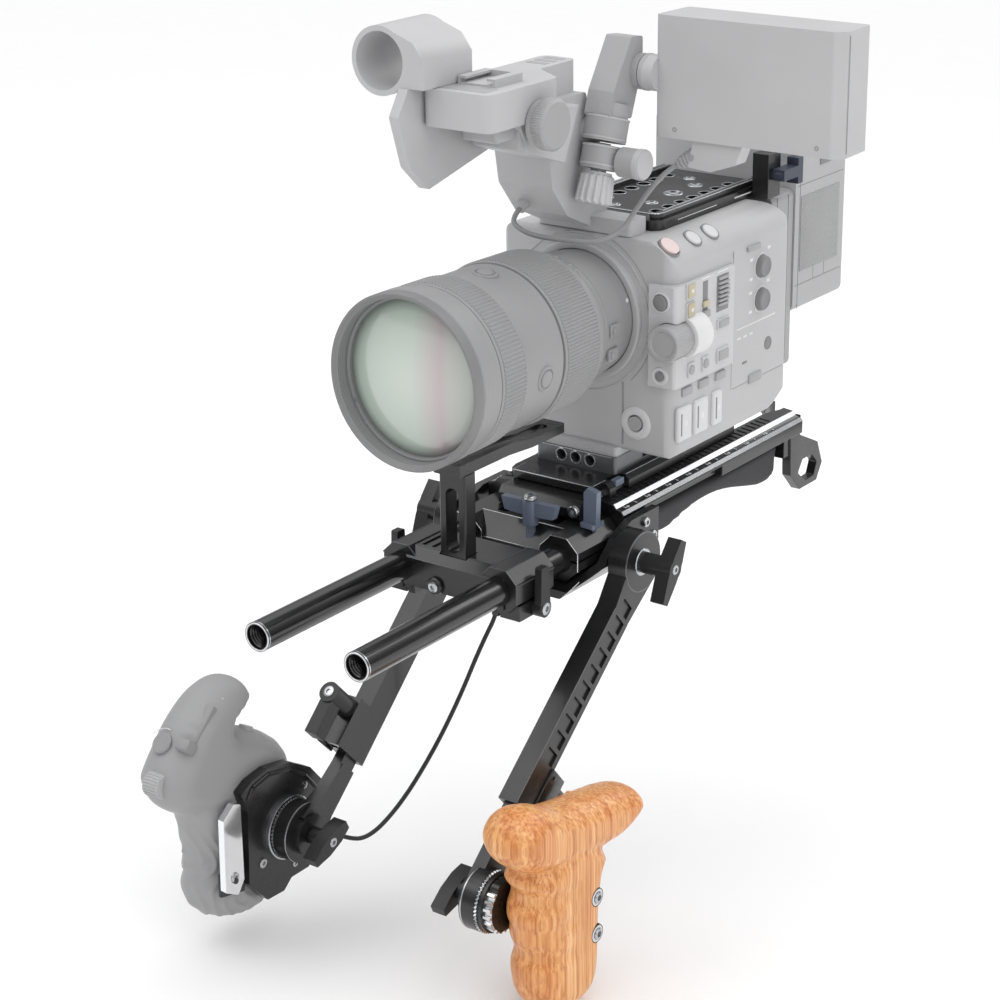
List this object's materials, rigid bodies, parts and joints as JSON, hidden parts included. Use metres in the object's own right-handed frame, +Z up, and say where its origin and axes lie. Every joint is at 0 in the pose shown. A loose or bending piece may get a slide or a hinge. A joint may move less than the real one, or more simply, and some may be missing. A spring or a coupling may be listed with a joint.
{
  "type": "cinema camera rig",
  "caption": "Shoulder camera rig: base plate with pad and 15 mm rods, two folding grip arms, lens support, camera with zoom lens, top handle, monitor and rear battery.",
  "frame": {"origin": "mouth of the tripod socket under the front of the base", "axes": "-Y along the lens's line of sight, +X to the camera's left, +Z up"},
  "size_m": [0.245, 0.44, 0.4616],
  "materials": {
    "black_anodised": "satin black anodised",
    "blue_anodised": "satin blue-grey anodised",
    "plate_grey": "fine brushed",
    "steel_screws": "bright",
    "polished_metal": "polished",
    "pad_rubber": "moulded",
    "wood": "oiled",
    "camera_pale": "fine texture",
    "camera_mid": "fine texture",
    "ring_rubber": "ribbed",
    "lens_glass": "coated",
    "cable_jacket": "satin",
    "red_cap": "satin"
  },
  "bodies": {
    "base": {"base_plate": "black_anodised", "rod_block": "black_anodised", "riser_block": "black_anodised", "arm_bracket": "black_anodised", "shoulder_pad": "pad_rubber", "rear_bracket": "black_anodised", "base_screws": "steel_screws", "grip_cable": "cable_jacket"},
    "rod_left": {"rod_left": "black_anodised"},
    "rod_right": {"rod_right": "black_anodised"},
    "rod_clamp_knob": {"rod_clamp_knob": "blue_anodised"},
    "lens_support": {"support_clamp": "black_anodised"},
    "support_upright": {"support_upright": "black_anodised"},
    "support_arm": {"support_arm": "black_anodised"},
    "support_lever_left": {"support_lever_left": "black_anodised"},
    "support_lever_right": {"support_lever_right": "black_anodised"},
    "quick_release_lever": {"quick_release_lever": "blue_anodised"},
    "camera": {"quick_release_deck": "black_anodised", "camera_plate": "plate_grey", "camera_body": "camera_pale", "side_panel": "camera_pale", "top_plate": "black_anodised", "cable_bracket": "black_anodised", "battery_plate": "camera_mid", "lens_barrel": "camera_mid", "lens_glass": "lens_glass", "handle": "camera_pale", "mic_holder": "camera_pale", "monitor_arm": "camera_mid", "monitor_cable": "camera_mid"},
    "release_button": {"release_button": "blue_anodised"},
    "record_button": {"record_button": "red_cap"},
    "front_button": {"front_button": "camera_pale"},
    "side_dial": {"side_dial": "camera_pale"},
    "focus_ring": {"focus_ring": "ring_rubber"},
    "zoom_ring": {"zoom_ring": "ring_rubber"},
    "handle_knob": {"handle_knob": "camera_mid"},
    "cable_bracket_knob": {"cable_bracket_knob": "blue_anodised"},
    "battery": {"battery": "camera_mid"},
    "monitor_arm_knob": {"monitor_arm_knob": "camera_mid"},
    "monitor_link": {"monitor_link": "camera_mid"},
    "monitor": {"monitor": "camera_pale"},
    "grip_left": {"wood_grip_adaptor": "black_anodised", "wood_grip": "wood", "wood_grip_screws": "steel_screws"},
    "grip_right": {"smart_grip_adaptor": "black_anodised", "smart_grip": "camera_mid"},
    "strap_lever": {"strap_lever": "polished_metal"},
    "smart_grip_stick": {"smart_grip_stick": "camera_mid"},
    "smart_grip_dial": {"smart_grip_dial": "camera_mid"},
    "arm_left": {"arm_left": "black_anodised"},
    "arm_left_inner": {"arm_left_inner": "black_anodised"},
    "arm_left_lever": {"arm_left_lever": "black_anodised"},
    "arm_left_knob": {"arm_left_knob": "black_anodised"},
    "grip_left_knob": {"grip_left_knob": "black_anodised"},
    "arm_right": {"arm_right": "black_anodised"},
    "arm_right_inner": {"arm_right_inner": "black_anodised"},
    "arm_right_lever": {"arm_right_lever": "black_anodised"},
    "arm_right_knob": {"arm_right_knob": "black_anodised"},
    "grip_right_knob": {"grip_right_knob": "black_anodised"}
  },
  "joints": [
    {"name": "rod_left_slide", "type": "slide", "parent": "base", "child": "rod_left", "axis": [0, -1, 0], "range_m": [0, 0.02]},
    {"name": "rod_right_slide", "type": "slide", "parent": "base", "child": "rod_right", "axis": [0, -1, 0], "range_m": [0, 0.02]},
    {"name": "rod_clamp_turn", "type": "hinge", "parent": "base", "child": "rod_clamp_knob", "pos_m": [0.008, -0.008, 0.037], "axis": [0, 0, 1], "range_deg": [0, 150]},
    {"name": "lens_support_slide", "type": "slide", "parent": "base", "child": "lens_support", "axis": [0, -1, 0], "range_m": [-0.012, 0.07]},
    {"name": "support_height", "type": "slide", "parent": "lens_support", "child": "support_upright", "axis": [0, 0, 1], "range_m": [-0.015, 0.004]},
    {"name": "support_reach", "type": "slide", "parent": "support_upright", "child": "support_arm", "axis": [0, -1, 0], "range_m": [-0.006, 0.02]},
    {"name": "support_lever_left_turn", "type": "hinge", "parent": "lens_support", "child": "support_lever_left", "pos_m": [0.044, -0.05, 0.0058], "axis": [1, 0, 0], "range_deg": [0, 75]},
    {"name": "support_lever_right_turn", "type": "hinge", "parent": "lens_support", "child": "support_lever_right", "pos_m": [-0.044, -0.05, 0.0058], "axis": [1, 0, 0], "range_deg": [0, 75]},
    {"name": "quick_release_lever_turn", "type": "hinge", "parent": "base", "child": "quick_release_lever", "pos_m": [0.0355, 0.007, 0.031], "axis": [0, 0, 1], "range_deg": [0, 60]},
    {"name": "camera_slide", "type": "slide", "parent": "base", "child": "camera", "axis": [0, 1, 0], "range_m": [0, 0.03]},
    {"name": "release_button_press", "type": "slide", "parent": "camera", "child": "release_button", "axis": [-1, 0, 0], "range_m": [0, 0.0015], "stiffness_N_per_m": 400},
    {"name": "record_button_press", "type": "slide", "parent": "camera", "child": "record_button", "axis": [-0.5736, 0, -0.8192], "range_m": [0, 0.001], "stiffness_N_per_m": 400},
    {"name": "front_button_press", "type": "slide", "parent": "camera", "child": "front_button", "axis": [0, 1, 0], "range_m": [0, 0.001], "stiffness_N_per_m": 400},
    {"name": "side_dial_turn", "type": "hinge", "parent": "camera", "child": "side_dial", "pos_m": [0.056, 0.047, 0.12], "axis": [0, 1, 0], "continuous": true},
    {"name": "focus_ring_turn", "type": "hinge", "parent": "camera", "child": "focus_ring", "pos_m": [0, -0.068, 0.1266], "axis": [0, -1, 0], "continuous": true},
    {"name": "zoom_ring_turn", "type": "hinge", "parent": "camera", "child": "zoom_ring", "pos_m": [0, -0.009, 0.1266], "axis": [0, -1, 0], "range_deg": [-35, 45]},
    {"name": "handle_knob_turn", "type": "hinge", "parent": "camera", "child": "handle_knob", "pos_m": [0.027, -0.016, 0.238], "axis": [1, 0, 0], "range_deg": [0, 180]},
    {"name": "cable_bracket_knob_turn", "type": "hinge", "parent": "camera", "child": "cable_bracket_knob", "pos_m": [0.05, 0.164, 0.182], "axis": [1, 0, 0], "range_deg": [-45, 45]},
    {"name": "battery_lift", "type": "slide", "parent": "camera", "child": "battery", "axis": [0, 0, 1], "range_m": [0, 0.03]},
    {"name": "monitor_arm_knob_turn", "type": "hinge", "parent": "camera", "child": "monitor_arm_knob", "pos_m": [0.016, 0.036, 0.187], "axis": [0, 0.309, 0.9511], "range_deg": [0, 180]},
    {"name": "monitor_swivel", "type": "hinge", "parent": "camera", "child": "monitor_link", "pos_m": [0.016, 0.036, 0.187], "axis": [0, 0.309, 0.9511], "range_deg": [-15, 28], "deforming": ["monitor_cable"]},
    {"name": "monitor_tilt", "type": "hinge", "parent": "monitor_link", "child": "monitor", "pos_m": [0.03, 0.067, 0.25], "axis": [1, 0, 0], "range_deg": [-20, 30]},
    {"name": "arm_left_swing", "type": "hinge", "parent": "base", "child": "arm_left", "pos_m": [0.0555, 0.0158, 0.012], "axis": [1, 0, 0], "range_deg": [-25, 50]},
    {"name": "arm_left_extend", "type": "slide", "parent": "arm_left", "child": "arm_left_inner", "axis": [0, -0.766, -0.6428], "range_m": [0, 0.04]},
    {"name": "arm_left_lever_turn", "type": "hinge", "parent": "arm_left", "child": "arm_left_lever", "pos_m": [0.0555, -0.07842, -0.06706], "axis": [0, 0.6428, -0.766], "range_deg": [0, 75]},
    {"name": "arm_left_knob_turn", "type": "hinge", "parent": "arm_left", "child": "arm_left_knob", "pos_m": [0.07, 0.0158, 0.012], "axis": [1, 0, 0], "range_deg": [0, 180]},
    {"name": "grip_left_knob_turn", "type": "hinge", "parent": "arm_left_inner", "child": "grip_left_knob", "pos_m": [0.045, -0.1189, -0.11995], "axis": [1, 0, 0], "range_deg": [0, 180]},
    {"name": "grip_left_turn", "type": "hinge", "parent": "arm_left_inner", "child": "grip_left", "pos_m": [0.068, -0.1189, -0.11995], "axis": [1, 0, 0], "range_deg": [-60, 60]},
    {"name": "arm_right_swing", "type": "hinge", "parent": "base", "child": "arm_right", "pos_m": [-0.0555, 0.0158, 0.012], "axis": [1, 0, 0], "range_deg": [-25, 50], "deforming": ["grip_cable"]},
    {"name": "arm_right_extend", "type": "slide", "parent": "arm_right", "child": "arm_right_inner", "axis": [0, -0.7278, -0.6858], "range_m": [0, 0.04]},
    {"name": "arm_right_lever_turn", "type": "hinge", "parent": "arm_right", "child": "arm_right_lever", "pos_m": [-0.0555, -0.07372, -0.07236], "axis": [0, -0.6858, 0.7278], "range_deg": [0, 75]},
    {"name": "arm_right_knob_turn", "type": "hinge", "parent": "arm_right", "child": "arm_right_knob", "pos_m": [-0.07, 0.0158, 0.012], "axis": [1, 0, 0], "range_deg": [0, 180]},
    {"name": "grip_right_knob_turn", "type": "hinge", "parent": "arm_right_inner", "child": "grip_right_knob", "pos_m": [-0.045, -0.11999, -0.11803], "axis": [1, 0, 0], "range_deg": [0, 180]},
    {"name": "grip_right_turn", "type": "hinge", "parent": "arm_right_inner", "child": "grip_right", "pos_m": [-0.068, -0.11999, -0.11803], "axis": [1, 0, 0], "range_deg": [-60, 60]},
    {"name": "strap_lever_turn", "type": "hinge", "parent": "grip_right", "child": "strap_lever", "pos_m": [-0.0687, -0.161, -0.131], "axis": [1, 0, 0], "range_deg": [0, 40]},
    {"name": "smart_grip_stick_tilt", "type": "hinge", "parent": "grip_right", "child": "smart_grip_stick", "pos_m": [-0.086, -0.13053, -0.07215], "axis": [1, 0, 0], "range_deg": [-8, 8], "stiffness_Nm_per_rad": 0.02},
    {"name": "smart_grip_dial_turn", "type": "hinge", "parent": "grip_right", "child": "smart_grip_dial", "pos_m": [-0.089, -0.1885, -0.072], "axis": [1, 0, 0], "continuous": true}
  ]
}
